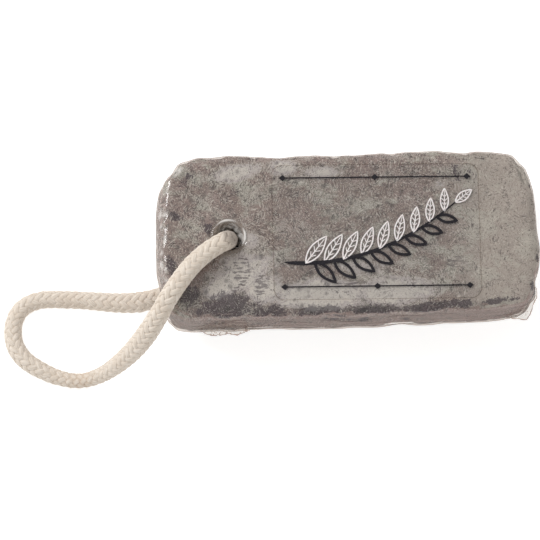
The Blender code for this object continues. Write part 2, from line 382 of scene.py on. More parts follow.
def braid(line, places):
    """Sixteen flat cotton yarns, eight each way, passing over two and under two."""
    heading, side, up = carried_frames(line)
    full = np.interp(places, *np.array(CORD_FULLNESS).T * np.array([[MM], [1]]))
    middle_radius = full * BRAID_RADIUS - YARN_THICKNESS / 2 - YARN_LIFT
    points, faces, runs = [], [], []
    for way in (1, -1):
        for yarn in range(BRAID_YARNS_EACH_WAY):
            angle = way * 2 * math.pi * places / BRAID_PITCH
            angle = angle + 2 * math.pi * yarn / BRAID_YARNS_EACH_WAY
            column = angle * BRAID_YARNS_EACH_WAY / math.pi
            wave = np.cos(2 * math.pi * (column - 0.5) / 4)
            lift = way * np.tanh(2.2 * wave) / math.tanh(2.2)
            radius = middle_radius + YARN_LIFT * lift
            spoke = np.cos(angle)[:, None] * side + np.sin(angle)[:, None] * up
            centre = line + spoke * radius[:, None]
            run = np.gradient(centre, axis=0)
            run /= np.linalg.norm(run, axis=1, keepdims=True)
            across = np.cross(run, spoke)
            across /= np.linalg.norm(across, axis=1, keepdims=True)
            out = np.cross(across, run)
            start = sum(len(block) for block in points)
            block = tube_points(centre, across, out, YARN_WIDTH / 2, YARN_THICKNESS / 2, YARN_SIDES)
            points.append(block)
            faces += ring_faces(len(line), YARN_SIDES, start)
            runs.append(yarn_places(places, YARN_SIDES, YARN_WIDTH, 3 * yarn + way))
    start = sum(len(block) for block in points)
    core = tube_points(line, side, up, CORE_RADIUS, CORE_RADIUS, 12)
    points.append(core)
    runs.append(yarn_places(places, 12, 2 * CORE_RADIUS, 40))
    faces += ring_faces(len(line), 12, start)
    points = np.concatenate(points)
    points[:, 2] = np.maximum(points[:, 2], 0.01 * MM)  # it lies flattened on the surface
    return points, faces, np.concatenate(runs)


def yarn_places(places, sides, width, number):
    """Where each point lies on its own yarn: across it, along it, and the yarn's number."""
    across = np.tile(np.cos(np.linspace(0, 2 * math.pi, sides, endpoint=False)), len(places))
    along = np.repeat(places, sides)
    return np.stack([across * width / 2, along, np.full(len(along), number * 10 * MM)], axis=1)


def fuzz(line, heading, side, up):
    """Loose cotton fibres that stand off the braid, as thin tapering hairs."""
    draw = np.random.default_rng(7)
    points, faces = [], []
    for _ in range(FUZZ_COUNT):
        at = draw.integers(2, len(line) - 2)
        turn = draw.uniform(0, 2 * math.pi)
        spoke = math.cos(turn) * side[at] + math.sin(turn) * up[at]
        around = np.cross(heading[at], spoke)
        way = heading[at] * draw.normal(0, 1) + around * draw.normal(0, 1)
        way = way / np.linalg.norm(way)
        length = draw.uniform(0.5, 1.0) ** 2 * FUZZ_LENGTH
        rise, curl = draw.uniform(0.1, 0.75), draw.uniform(-0.6, 0.6)
        root = line[at] + spoke * (BRAID_RADIUS - 0.35 * MM)
        bent = np.cross(way, spoke)
        start = len(points)
        for step, share in enumerate(np.linspace(0, 1, 4)):
            lean = way * share + spoke * (rise * share - 0.5 * rise * share**2 + 0.15)
            here = root + length * (lean + bent * curl * share**2)
            thin = FUZZ_THICKNESS * (1 - 0.7 * share)
            for corner in range(3):
                a = corner * 2 * math.pi / 3
                points.append(here + thin * (math.cos(a) * bent + math.sin(a) * spoke))
        faces += ring_faces(4, 3, start)
    points = np.array(points)
    points[:, 2] = np.maximum(points[:, 2], 0.02 * MM)  # none goes into the table
    return points, faces


def undyed_cotton(name):
    """Natural undyed cotton, spun and braided: matt and cream, fibrous along each yarn, tan in the
    grooves as painted shade with some dust, with a rare brown fleck of seed husk. Its fibres are
    drawn about ten times as coarse as they are, so that they show."""
    material, tree = new_material(name)
    place = add_node(tree, "ShaderNodeTexCoord").node.outputs["Object"]
    on_yarn = add_node(tree, "ShaderNodeAttribute", attribute_name="on_yarn").node.outputs["Vector"]
    drawn = add_node(
        tree,
        "ShaderNodeMapping",
        {
            "Vector": on_yarn,
            "Scale": (1 / (0.22 * MM), 1 / (2.0 * MM), 1 / MM),
            "Rotation": (0, 0, 0.12),
        },
    )
    fibre = add_node(tree, "ShaderNodeTexNoise", {"Vector": drawn, "Scale": 1.0, "Detail": 3.0})
    slub = add_node(tree, "ShaderNodeTexNoise", {"Vector": place, "Scale": 1 / (6 * MM)})
    husk = add_node(tree, "ShaderNodeTexVoronoi", {"Vector": place, "Scale": 1 / (9 * MM)})
    groove = add_node(tree, "ShaderNodeAttribute", attribute_name="in_groove").node.outputs["Fac"]
    bore_mouth_shade = add_node(tree, "ShaderNodeAttribute", attribute_name="bore_mouth_shade").node.outputs["Fac"]
    layers = (
        ("#D2C5B6", fibre, 0.62, 0.36, 1.0),
        ("#D6C8B9", slub, 0.5, 0.66, 0.5),
        # the tan in the grooves is painted shade, with some dust
        ("#BFA78F", groove, 0.0, 1.0, 1.0),
        ("#7A5638", husk, 0.035, 0.02, 1.0),
        # painted shade where the cord goes down into the bore
        ("#857A73", bore_mouth_shade, 0.0, 1.0, 0.6),
    )
    tone = laid_on(tree, "#E5DBD0", layers)
    bump = add_node(
        tree, "ShaderNodeBump", {"Height": fibre, "Strength": 0.6, "Distance": 0.08 * MM}
    )
    shader = add_node(
        tree,
        "ShaderNodeBsdfPrincipled",
        {
            "Base Color": tone,
            "Normal": bump,
            "Roughness": 0.9,
            "Specular IOR Level": 0.2,
            "Sheen Weight": 0.15,
        },
    )
    add_node(tree, "ShaderNodeOutputMaterial", {"Surface": shader})
    return material


def add_cord():
    line, places = smooth_route()
    points, faces, on_yarn = braid(line, places)
    data = mesh_from("cord_loop_braid", points, faces)
    layer = data.attributes.new("on_yarn", "FLOAT_VECTOR", "POINT")
    layer.data.foreach_set("vector", on_yarn.astype(np.float32).ravel())
    middle = np.tile(np.repeat(line, YARN_SIDES, axis=0), (2 * BRAID_YARNS_EACH_WAY, 1))
    middle = np.concatenate([middle, np.repeat(line, 12, axis=0)])
    sunk = 1 - np.linalg.norm(np.asarray(points) - middle, axis=1) / BRAID_RADIUS
    # how far each point sinks between the yarns, for the painted shade in the grooves
    set_attribute(data, "in_groove", ramp(sunk, 0.10, 0.34))
    # painted shade on the cord where it goes down into the bore's mouth
    mouth = stone_to_scene() @ Vector((*BORE_CENTRE, STONE_THICKNESS))
    away = np.linalg.norm(np.asarray(points)[:, :2] - (mouth.x + 1.6 * MM, mouth.y), axis=1)
    set_attribute(data, "bore_mouth_shade", 1 - ramp(away, 1.2 * MM, 5.2 * MM))
    cord = new_object("cord_loop_braid", data, undyed_cotton("braided_undyed_cotton"))
    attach(cord, BODY)
    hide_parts("cord_loop")
    heading, side, up = carried_frames(line)
    points, faces = fuzz(line, heading, side, up)
    fibres = mesh_from("cord_fibres", points, faces)
    fibres = new_object("cord_fibres", fibres, undyed_cotton("loose_cotton_fibre"))
    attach(fibres, BODY)
    tuple(line[0])
    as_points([tuple(point) for point in line[::4]] + [tuple(line[-1])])


# ---------------------------------------------------------------- worn and foamy surfaces


def lattice(cells, seed):
    """A steady random number from 0 to 1 for each whole-numbered cell."""
    mixed = cells[..., 0] * 73856093 ^ cells[..., 1] * 19349663 ^ cells[..., 2] * 83492791
    mixed = (mixed ^ (seed * 2654435761)) & 0xFFFFFFFF
    mixed = ((mixed ^ (mixed >> 15)) * 2246822519) & 0xFFFFFFFF
    mixed = ((mixed ^ (mixed >> 13)) * 3266489917) & 0xFFFFFFFF
    return ((mixed ^ (mixed >> 16)) & 0xFFFFFFFF) / 0xFFFFFFFF


def swell(points, size, seed=0):
    """Smooth noise from -1 to 1 whose lumps are about size across, one size for all axes or three."""
    places = points / np.asarray(size)
    base = np.floor(places).astype(np.int64)
    share = places - base
    share = share * share * (3 - 2 * share)
    total = np.zeros(len(points))
    for corner in np.ndindex(2, 2, 2):
        weight = np.prod(np.where(corner, share, 1 - share), axis=1)
        total += weight * lattice(base + np.array(corner), seed)
    return total * 2 - 1


def bubbles(points, spacing, seed):
    """For each point, how far the nearest bubble's centre is and that bubble's own number."""
    places = points / spacing
    base = np.floor(places).astype(np.int64)
    nearest = np.full(len(points), 9.0)
    number = np.zeros(len(points))
    for corner in np.ndindex(3, 3, 3):
        cell = base + np.array(corner) - 1
        centre = cell + np.stack([lattice(cell, seed + axis) for axis in range(3)], axis=1)
        away = np.linalg.norm(places - centre, axis=1)
        closer = away < nearest
        nearest = np.where(closer, away, nearest)
        number = np.where(closer, lattice(cell, seed + 3), number)
    return nearest * spacing, number


def ramp(values, low, high):
    share = np.clip((values - low) / (high - low), 0, 1)
    return share * share * (3 - 2 * share)


def blot(points, centre, size, turn=0.0):
    """1 in the middle of a soft ellipse on the plan, 0 at its rim and beyond."""
    away = points[:, :2] - np.array(centre) * MM
    cos, sin = math.cos(turn), math.sin(turn)
    along = away[:, 0] * cos + away[:, 1] * sin
    across = away[:, 1] * cos - away[:, 0] * sin
    reach = np.hypot(along / (size[0] * MM), across / (size[1] * MM))
    return np.clip(1 - reach, 0, 1)


# Where the top is drawn lighter in flat patches, and the film over them milkier and finely rippled: x,
# y, half length, half width, turn, strength
FLAT_PATCHES = (
    (-31.0, -11.0, 13.0, 7.5, 0.35, 0.84),
    (-37.0, -15.0, 9.0, 4.5, 0.4, 1.0),
    (-24.5, -16.0, 8.0, 6.5, 0.1, 0.95),
    (-9.0, -17.6, 19.0, 6.4, 0.0, 1.15),
    (12.0, -16.6, 17.0, 5.8, 0.05, 1.0),
    (-28.0, -1.5, 6.0, 5.0, -0.5, 0.55),
    (-32.0, 18.6, 10.0, 3.4, 0.2, 0.9),
    (-18.5, 20.2, 6.0, 3.6, 0.0, 0.9),
    (-7.0, 18.3, 9.0, 3.0, 0.0, 0.7),
    (5.0, -9.5, 16.0, 4.0, 0.0, 0.5),
    (26.0, 14.5, 5.0, 3.0, 0.4, 0.5),
)
# Where the edges are painted dark, as the shade of their open, unground cells: the same six numbers
DARK_TUFTS = (
    (-36.0, -20.5, 14.0, 5.4, 0.12, 0.9),
    (-35.5, -19.8, 7.0, 3.6, 0.2, 1.6),
    (-46.0, -18.0, 7.0, 6.0, -0.4, 0.65),
    (-24.0, -22.0, 9.0, 3.4, 0.0, 0.75),
    (-8.0, -22.4, 14.0, 3.0, 0.0, 0.95),
    (6.0, -22.2, 14.0, 2.8, 0.0, 0.95),
    (24.0, -21.2, 18.0, 2.2, 0.08, 0.9),
    (42.0, -19.8, 12.0, 1.4, 0.15, 0.7),
    (52.4, -15.0, 1.6, 2.4, 0.2, 0.7),
    (52.6, 14.2, 0.9, 1.8, 0.0, 0.8),
    (53.6, 7.2, 0.8, 1.2, 0.0, 0.8),
    (54.3, 2.7, 0.8, 1.0, 0.0, 0.8),
    (54.6, -3.0, 0.7, 1.3, 0.0, 0.8),
    (53.8, -7.2, 1.0, 2.2, 0.0, 0.8),
    (-50.5, 6.0, 4.5, 2.0, -0.3, 0.7),
    (-51.0, -9.0, 2.4, 4.6, 0.4, 1.0),
    (-40.5, 2.0, 3.0, 1.8, -0.5, 1.1),
    (31.5, 17.8, 7.0, 4.2, 0.0, 0.42),
    (-46.0, 17.0, 5.5, 3.0, 0.9, 0.4),
    (-32.0, 13.0, 6.0, 3.0, 0.5, 0.35),
)
# Where dark lines are painted on the stone as the shade of the film's small wrinkles: the same six
# numbers
WRINKLED_SPOTS = (
    (-31.2, -10.2, 3.3, 5.2, 0.0, 1.3),
    (-25.6, -14.4, 2.8, 4.2, -0.4, 1.4),
    (-33.0, -15.8, 2.2, 2.6, 0.0, 0.7),
    (-47.5, -15.5, 3.0, 3.5, 0.3, 0.7),
    (31.0, -8.5, 5.0, 3.0, 0.0, 0.8),
    (-2.0, -14.5, 8.0, 2.0, 0.0, 0.6),
)


def marks(points, places):
    """The strongest of these marks at each point."""
    spots = [strength * blot(points, (x, y), half, turn) for x, y, *half, turn, strength in places]
    return np.max(spots, axis=0)


def set_attribute(data, name, values):
    layer = data.attributes.new(name, "FLOAT", "POINT")
    layer.data.foreach_set("value", np.ascontiguousarray(values, dtype=np.float32))


def edge_pairs(data):
    pairs = np.zeros(len(data.edges) * 2, dtype=np.int64)
    data.edges.foreach_get("vertices", pairs)
    return pairs.reshape(-1, 2)


def spread(pairs, values, rounds):
    """Values evened out over a mesh by averaging each point with its neighbours."""
    count = np.bincount(pairs.ravel(), minlength=len(values)).astype(float)
    for _ in range(rounds):
        total = np.zeros_like(values)
        np.add.at(total, pairs[:, 0], values[pairs[:, 1]])
        np.add.at(total, pairs[:, 1], values[pairs[:, 0]])
        share = count[:, None] if values.ndim > 1 else count
        values = 0.5 * values + 0.5 * total / np.maximum(share, 1)
    return values


def least_nearby(pairs, values, rounds):
    for _ in range(rounds):
        lower = values.copy()
        np.minimum.at(lower, pairs[:, 0], values[pairs[:, 1]])
        np.minimum.at(lower, pairs[:, 1], values[pairs[:, 0]])
        values = lower
    return values


def vertex_normals(data):
    normals = np.zeros(len(data.vertices) * 3, dtype=np.float32)
    data.vertex_normals.foreach_get("vector", normals)
    return normals.reshape(-1, 3).astype(float)


def place_points(data, points):
    data.vertices.foreach_set("co", np.ascontiguousarray(points, dtype=np.float32).ravel())
    data.update()


def voxel_mesh(item, voxel):
    """The even mesh that a voxel remesh makes of an object."""
    even = item.modifiers.new("even", "REMESH")
    even.mode = "VOXEL"
    even.voxel_size = voxel
    graph = bpy.context.evaluated_depsgraph_get()
    data = bpy.data.meshes.new_from_object(item.evaluated_get(graph))
    item.modifiers.clear()
    return data


def tree_of(data):
    """A tree for finding where rays meet a mesh, in the mesh's own frame."""
    mesh = bmesh.new()
    mesh.from_mesh(data)
    tree = BVHTree.FromBMesh(mesh)
    mesh.free()
    return tree


# ---------------------------------------------------------------- the stone

STONE_VOXEL = 0.46 * MM
STONE_EVENING = 7  # rounds that take the facets off the model's stone
SAWN_FLATNESS = 0.7  # how much of the model's low relief the saw took off the top


def near_edge(points, normals):
    """1 on the rounded edges of the bar and 0 on its flats."""
    level = np.abs(normals[:, 2])
    return ramp(level, 0.05, 0.45) * (1 - ramp(level, 0.8, 0.99))


def bore_clear(points, inner, outer):
    away = np.hypot(points[:, 0] - BORE_CENTRE.x, points[:, 1] - BORE_CENTRE.y)
    return ramp(away, inner, outer)


def stone_relief(points, normals, tuft):
    """How deep the open cells, fibres and crumbled edges are cut at each point, in metres."""
    side = 1 - ramp(np.abs(normals[:, 2]), 0.1, 0.5)
    edge = np.maximum(near_edge(points, normals), 0.6 * side)
    coarse, number = bubbles(points, 2.4 * MM, 11)
    radius = (0.35 + 0.75 * number) * MM
    open_cells = np.clip(1 - (coarse / radius) ** 2, 0, 1) * (number > 0.45 - 0.4 * tuft)
    fine, number = bubbles(points, 1.15 * MM, 23)
    radius = (0.2 + 0.45 * number) * MM
    small_cells = np.clip(1 - (fine / radius) ** 2, 0, 1)
    crumbs = np.clip(swell(points, 4.6 * MM, 3) + 0.1, 0, 1) * 1.0 * MM
    crumbs = crumbs + np.clip(swell(points, 1.9 * MM, 4), 0, 1) * 0.5 * MM
    grain = 0.06 * MM * swell(points, 1.0 * MM, 5) + 0.05 * MM * swell(points, 2.1 * MM, 6)
    depth = (0.26 + 0.5 * tuft) * MM * open_cells + 0.16 * MM * small_cells
    return depth + crumbs * edge + grain, np.maximum(open_cells, 0.6 * small_cells)


def sawn_pumice():
    """Pumice, a foam of volcanic glass drawn into fibres and sawn to a bar: quite matt, fibrous
    like felt, in patches of warm and cool grey, with painted shade in its open cells, its dark tufts
    and along the film's creases. Its fibres are drawn two or three times as coarse as they are, so that
    they show."""
    material, tree = new_material("sawn_pumice")
    place = add_node(tree, "ShaderNodeTexCoord").node.outputs["Object"]
    bent = add_node(
        tree, "ShaderNodeTexNoise", {"Vector": place, "Scale": 1 / (2.6 * MM), "Detail": 1.0}
    ).node.outputs["Color"]
    swayed = add_node(
        tree,
        "ShaderNodeVectorMath",
        {0: bent, 1: (0.7 * MM, 0.7 * MM, 0.7 * MM), 2: place},
        operation="MULTIPLY_ADD",
    )
    wide = felted_strokes(tree, swayed, 4.0 * MM, 0.40 * MM, 2.4 * MM)
    fine = felted_strokes(tree, swayed, 2.6 * MM, 0.27 * MM, 1.8 * MM)
    noises = {}
    for name, size, detail in (
        ("mottle", (9 * MM, 6 * MM, 8 * MM), 5.0),
        ("blotch", (17 * MM, 13 * MM, 17 * MM), 3.0),
        ("clump", (3.4 * MM, 3.4 * MM, 3.4 * MM), 3.0),
        ("streak", (9 * MM, 9 * MM, 1.1 * MM), 3.0),
        ("crease", (3.0 * MM, 0.6 * MM, 2 * MM), 1.0),
        ("smudge", (3.2 * MM, 1.8 * MM, 3 * MM), 2.0),
    ):
        scaled = add_node(
            tree,
            "ShaderNodeMapping",
            {"Vector": swayed, "Scale": [1 / side for side in size], "Rotation": (0, 0, 0.5)},
        )
        noises[name] = add_node(
            tree,
            "ShaderNodeTexNoise",
            {"Vector": scaled, "Scale": 1.0, "Detail": detail, "Roughness": 0.6},
        )
    marked = {
        name: add_node(tree, "ShaderNodeAttribute", attribute_name=name).node.outputs["Fac"]
        for name in (
            "flat_patch",
            "wrinkled",
            "dark_tuft",
            "calm",
            "hollow",
            "sawn_side",
            "drilled",
            "worn_end",
        )
    }
    joined = {}
    for name, first, amount, second in (
        ("dark", marked["calm"], 0.10, wide),
        ("dark", noises["clump"], 0.9, "dark"),
        ("light", marked["calm"], -0.08, fine),
        ("light", marked["dark_tuft"], -0.06, "light"),
        ("light", noises["clump"], -0.5, "light"),
        ("flat", noises["mottle"], 1.0, marked["flat_patch"]),
        ("flat", noises["clump"], 0.6, "flat"),
        ("flat", fine, 0.5, "flat"),
        ("tuft", noises["clump"], 1.3, marked["dark_tuft"]),
        ("tuft", wide, 0.9, "tuft"),
        ("crease", marked["wrinkled"], 0.3, noises["crease"]),
        ("streak", marked["sawn_side"], 0.3, noises["streak"]),
    ):
        joined[name] = add_node(
            tree,
            "ShaderNodeMath",
            {0: first, 1: amount, 2: joined[second] if isinstance(second, str) else second},
            operation="MULTIPLY_ADD",
        )
    layers = (
        ("#A7A59C", noises["mottle"], 0.46, 0.58, 0.95),
        ("#8F7D79", noises["blotch"], 0.46, 0.58, 0.8),
        ("#6A5E5C", noises["blotch"], 0.42, 0.30, 0.4),
        ("#5A4E4C", noises["clump"], 0.42, 0.32, 0.45),
        ("#B8B5AE", joined["flat"], 1.14, 1.22, 0.45),
        ("#B8B1B0", joined["flat"], 1.32, 1.36, 0.88),
        ("#CDC8C1", joined["flat"], 1.52, 1.62, 0.85),
        # dark lines painted as the shade of the film's creases
        ("#51464A", joined["crease"], 0.78, 0.84, 0.82),
        ("#BFB9B1", marked["worn_end"], 0.0, 1.0, 0.6),
        ("#6E6A69", noises["smudge"], 0.62, 0.72, 0.4),
        ("#9F8A85", marked["sawn_side"], 0.0, 1.0, 0.75),
        # painted shade of the open cells in the dark tufts
        ("#3B2D38", joined["tuft"], 1.40, 1.54, 0.88),
        ("#5F504D", joined["streak"], 0.92, 1.0, 0.4),
        ("#3B3231", joined["dark"], 0.98, 0.74, 0.7),
        ("#DCD7D0", joined["light"], 0.27, 0.40, 0.5),
        ("#463B3B", fine, 0.44, 0.32, 0.55),
        ("#CFC7BD", fine, 0.58, 0.70, 0.25),
        ("#4E4345", wide, 0.34, 0.27, 0.5),
        # painted shade in the open cells
        ("#3E3635", marked["hollow"], 0.1, 1.0, 0.6),
        ("#90847B", marked["drilled"], 0.0, 1.0, 1.0),
    )
    shader = add_node(
        tree,
        "ShaderNodeBsdfPrincipled",
        {
            "Base Color": laid_on(tree, "#8A7B75", layers),
            "Normal": add_node(
                tree, "ShaderNodeBump", {"Height": wide, "Strength": 0.7, "Distance": 0.2 * MM}
            ),
            "Roughness": 0.95,
            "Specular IOR Level": 0.12,
        },
    )
    add_node(tree, "ShaderNodeOutputMaterial", {"Surface": shader})
    return material


def felted_strokes(tree, place, patch, width, length):
    """Short strokes, this wide and long, that lie another way in each patch."""
    cells = add_node(tree, "ShaderNodeTexVoronoi", {"Vector": place, "Scale": 1 / patch}).node
    offset = add_node(
        tree,
        "ShaderNodeVectorMath",
        {0: place, 1: cells.outputs["Position"]},
        operation="SUBTRACT",
    )
    turn = add_node(
        tree,
        "ShaderNodeVectorMath",
        {0: cells.outputs["Color"], 1: (6.28, 6.28, 6.28)},
        operation="MULTIPLY",
    )
    turned = add_node(
        tree,
        "ShaderNodeVectorRotate",
        {"Vector": offset, "Rotation": turn},
        rotation_type="EULER_XYZ",
    )
    drawn = add_node(
        tree,
        "ShaderNodeVectorMath",
        {0: turned, 1: (1 / length, 1 / width, 1 / width), 2: turn},
        operation="MULTIPLY_ADD",
    )
    return add_node(tree, "ShaderNodeTexNoise", {"Vector": drawn, "Scale": 1.0, "Detail": 1.5})


def outer_growth(points, normals):
    """How far each point of the sides moves out, so that the worn stone keeps the model's size."""
    level = normals * (1, 1, 0)
    level = level / np.maximum(np.linalg.norm(level, axis=1, keepdims=True), 0.3)
    front, left, right, back = (
        ramp(level @ np.array(way), 0.5, 0.9) for way in ((0, -1, 0), (-1, 0, 0), (1, 0, 0), (0, 1, 0))
    )
    x = points[:, 0] / MM
    dip = ramp(x, -17, -12) * (1 - ramp(x, 3.5, 5.5))
    growth = 0.3 + 0.45 * front + 0.15 * left + 0.35 * right + (0.6 - 0.35 * dip) * back
    growth = growth * (1 - ramp(blot(points, (-50.0, 19.0), (9.0, 9.0)), 0.0, 0.4))
    growth = growth * (1 - 1.3 * ramp(blot(points, (52.0, 20.0), (9.0, 9.0)), 0.0, 0.6))
    crumbly = 0.45 * swell(points, 3.4 * MM, 8) + 0.25 * swell(points, 1.6 * MM, 9)
    crumbly += 0.3 * swell(points, 6.5 * MM, 7) * back
    growth = growth + crumbly * np.clip(back + 0.5 * left + 0.4 * right, 0, 1)
    above = ramp(points[:, 2], 0.3 * MM, 2.5 * MM)
    return level * (growth * above * ramp(1 - np.abs(normals[:, 2]), 0.02, 0.4) * MM)[:, None]


def add_stone():
    """The model's stone, its facets evened out and its foam cut in. Returns its ray tree."""
    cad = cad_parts["pumice_stone"]
    rough = cad.data.copy()
    rough.transform(stone_to_scene().inverted() @ cad.matrix_world)
    stone = new_object("pumice_stone_worn", rough, sawn_pumice())
    fine = voxel_mesh(stone, STONE_VOXEL)
    pairs = edge_pairs(fine)
    points = spread(pairs, as_array(fine), STONE_EVENING)
    place_points(fine, points)
    normals = vertex_normals(fine)
    points += outer_growth(points, normals)
    top = ramp(normals[:, 2], 0.75, 0.97) * ramp(points[:, 2], 18 * MM, 20 * MM)
    sawn = STONE_THICKNESS - 0.45 * MM
    lift = (sawn - points[:, 2]) * SAWN_FLATNESS * top * bore_clear(points, 5.4 * MM, 7.4 * MM)
    points[:, 2] += spread(pairs, lift, 6)
    place_points(fine, points)
    normals = vertex_normals(fine)
    border = 0.56 - 0.36 * ramp(normals[:, 1], -0.3, 0.3) - 0.2 * ramp(normals[:, 0], 0.2, 0.6)
    side = 1 - ramp(np.abs(normals[:, 2]) - border, -0.07, 0.07)
    side = side * (1 - 0.35 * ramp(normals[:, 1], 0.2, 0.7))
    # where the tufts' painted shade lies; the cells there are also cut deeper
    tuft = marks(points, DARK_TUFTS) * ramp(normals[:, 2], 0.15, 0.5)
    depth, hollow = stone_relief(points, normals, np.minimum(1.5 * tuft, 1))
    bore = bore_clear(points, BORE_RADIUS + 0.3 * MM, BORE_RADIUS + 3 * MM)
    points -= normals * (depth * (0.35 + 0.65 * bore))[:, None]
    place_points(fine, above_table(points))
    worn = ramp(points[:, 0], 20 * MM, 42 * MM)
    flat = marks(points, FLAT_PATCHES) * ramp(normals[:, 2], 0.5, 0.9)
    # where the open cells get painted shade, less on the worn end
    set_attribute(fine, "hollow", hollow * (1 - 0.7 * worn))
    set_attribute(fine, "calm", np.maximum(worn, ramp(flat, 0.2, 0.4)))
    set_attribute(fine, "dark_tuft", tuft)
    set_attribute(fine, "flat_patch", flat)
    # where the film's creases are painted as dark lines on the stone
    wrinkled = ramp(marks(points, WRINKLED_SPOTS), 0.0, 0.45) * ramp(normals[:, 2], 0.5, 0.9)
    set_attribute(fine, "wrinkled", wrinkled)
    set_attribute(fine, "sawn_side", side)
    set_attribute(fine, "worn_end", worn * (1 - 0.7 * side))
    set_attribute(fine, "drilled", 1 - bore_clear(points, 4.9 * MM, 5.6 * MM))
    stone.data = fine
    fine.shade_smooth()
    stone.matrix_world = stone_to_scene()
    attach(stone, BODY)
    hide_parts("pumice_stone")
    return tree_of(fine)


# ---------------------------------------------------------------- the shrink film

# The bar's plan that the film is drawn over: x, y and corner radius, anticlockwise, front left first
STONE_PLAN_MM = (
    (-51.8, -23.7, 7.5),
    (0.0, -23.0, 200.0),
    (38.0, -21.7, 60.0),
    (52.2, -20.0, 6.0),
    (54.3, -6.0, 25.0),
    (52.4, 23.9, 9.0),
    (-54.4, 23.0, 12.5),
    (-54.6, -7.0, 24.0),
)
SKIN_GAP = 0.3 * MM
FILM_VOXEL = 0.66 * MM
FILM_THICKNESS = 0.05 * MM
FILM_CLEARANCE = 0.14 * MM
FILM_TOP_HOLE = 4.95 * MM
FILM_BOTTOM_HOLE = 6.0 * MM
SEAM_HEIGHT = 8.5 * MM


def rounded_outline(corners, step):
    """Evenly spaced points, about step apart, along a closed polygon with rounded corners."""
    plan = [Vector(corner[:2]) for corner in corners]
    track = []
    for index, (x, y, radius) in enumerate(corners):
        here = Vector((x, y))
        back = (plan[index - 1] - here).normalized()
        ahead = (plan[(index + 1) % len(plan)] - here).normalized()
        half_angle = back.angle(ahead) / 2
        centre = here + (back + ahead).normalized() * radius / math.sin(half_angle)
        first = here + back * radius / math.tan(half_angle) - centre
        for turn in np.linspace(0, math.pi - 2 * half_angle, 13):
            cos, sin = math.cos(turn), math.sin(turn)
            spoke = Vector((first.x * cos - first.y * sin, first.x * sin + first.y * cos))
            track.append(centre + spoke)
    track = np.array([tuple(point) for point in track + track[:1]])
    along = np.concatenate([[0], np.cumsum(np.linalg.norm(np.diff(track, axis=0), axis=1))])
    places = np.linspace(0, along[-1], round(along[-1] / step), endpoint=False)
    return np.stack([np.interp(places, along, track[:, axis]) for axis in (0, 1)], axis=1)


def outward(outline):
    run = np.roll(outline, -1, axis=0) - np.roll(outline, 1, axis=0)
    normals = np.stack([run[:, 1], -run[:, 0]], axis=1)
    return normals / np.linalg.norm(normals, axis=1, keepdims=True)


def skin_form():
    """The even form of the film before it shrinks on: the bar's slab, grown by the skin's gap."""
    outline = rounded_outline(np.array(STONE_PLAN_MM) * MM, 1.2 * MM)
    normals = outward(outline)
    radius = STONE_EDGE_RADIUS + SKIN_GAP
    arc = np.linspace(0, math.pi / 2, 7)
    lower = [(radius * math.sin(a) - STONE_EDGE_RADIUS, -radius * math.cos(a)) for a in arc]
    lower = [(shift, STONE_EDGE_RADIUS + height) for shift, height in lower]
    upper = [(shift, STONE_THICKNESS - height) for shift, height in reversed(lower)]
    points, faces = [], []
    count = len(outline)
    for shift, height in lower + upper:
        ring = outline + normals * shift
        points += [(x, y, height) for x, y in ring]
    for ring in range(len(lower + upper) - 1):
        for side in range(count):
            follow = (side + 1) % count
            base = ring * count
            faces.append((base + side, base + follow, base + count + follow, base + count + side))
    faces.append(tuple(range(count - 1, -1, -1)))
    faces.append(tuple(range(len(points) - count, len(points))))
    return mesh_from("skin_form", points, faces)


def film_wrinkles(points, normals):
    """How far the film's folds stand out at each point, in metres, never inwards by much."""
    side = 1 - ramp(np.abs(normals[:, 2]), 0.3, 0.9)
    top = ramp(normals[:, 2], 0.9, 0.99)
    lengthwise = 1 - np.abs(swell(points, (13 * MM, 13 * MM, 1.5 * MM), 31))
    lengthwise = lengthwise**3 * (0.5 + 0.5 * swell(points, 9 * MM, 32))
    loose = 0.3 + 0.7 * ramp(-normals[:, 1], 0.2, 0.8)
    fold = 0.30 * MM * side * lengthwise * loose
    pouch = (points / MM - (53.6, -15.6, 9.5)) / (3.0, 2.6, 4.5)
    pouch = np.linalg.norm(pouch, axis=1)
    fold = fold + 0.9 * MM * np.clip(1 - pouch**2, 0, 1)
    band = np.clip(1 - np.abs(points[:, 2] - SEAM_HEIGHT) / (1.1 * MM), 0, 1)
    fold = fold + 0.45 * MM * side * band * (0.75 + 0.25 * swell(points, 2.2 * MM, 33))
    plan_corner = ramp(np.abs(normals[:, 0]), 0.15, 0.4) * ramp(np.abs(normals[:, 1]), 0.15, 0.4)
    pucker = (1 - np.abs(swell(points, (1.7 * MM, 1.7 * MM, 7 * MM), 34))) ** 2
    fold = fold + (0.28 - 0.16 * ramp(normals[:, 1], 0, 0.4)) * MM * plan_corner * pucker
    slack = swell(points, 5.5 * MM, 35) * 0.10 * MM
    bent = ramp(normals[:, 2], 0.05, 0.5) * (1 - ramp(normals[:, 2], 0.95, 0.998))
    bent = bent * (0.2 + 0.8 * ramp(-normals[:, 0], 0.03, 0.25))
    knots = swell(points, (2.6 * MM, 2.0 * MM, 2.6 * MM), 37) + 0.8 * swell(points, 1.4 * MM, 38)
    fold = fold + 0.40 * MM * bent * np.clip(knots, -0.5, 1.2)
    ripples = (1 - np.abs(swell(points, (3.4 * MM, 0.8 * MM, 2 * MM), 36))) ** 2
    ripples = ripples * marks(points, FLAT_PATCHES) * top * 0.10 * MM
    away = np.hypot(points[:, 0] - BORE_CENTRE.x, points[:, 1] - BORE_CENTRE.y)
    turn = np.arctan2(points[:, 1] - BORE_CENTRE.y, points[:, 0] - BORE_CENTRE.x)
    drawn = 0.05 * MM * np.sin(turn * 17 + 3 * np.sin(turn * 3)) * top
    drawn = drawn * np.exp(-np.clip(away - FILM_TOP_HOLE, 0, None) / (2.2 * MM))
    return fold + slack * (1 - top * 0.6) + ripples + drawn


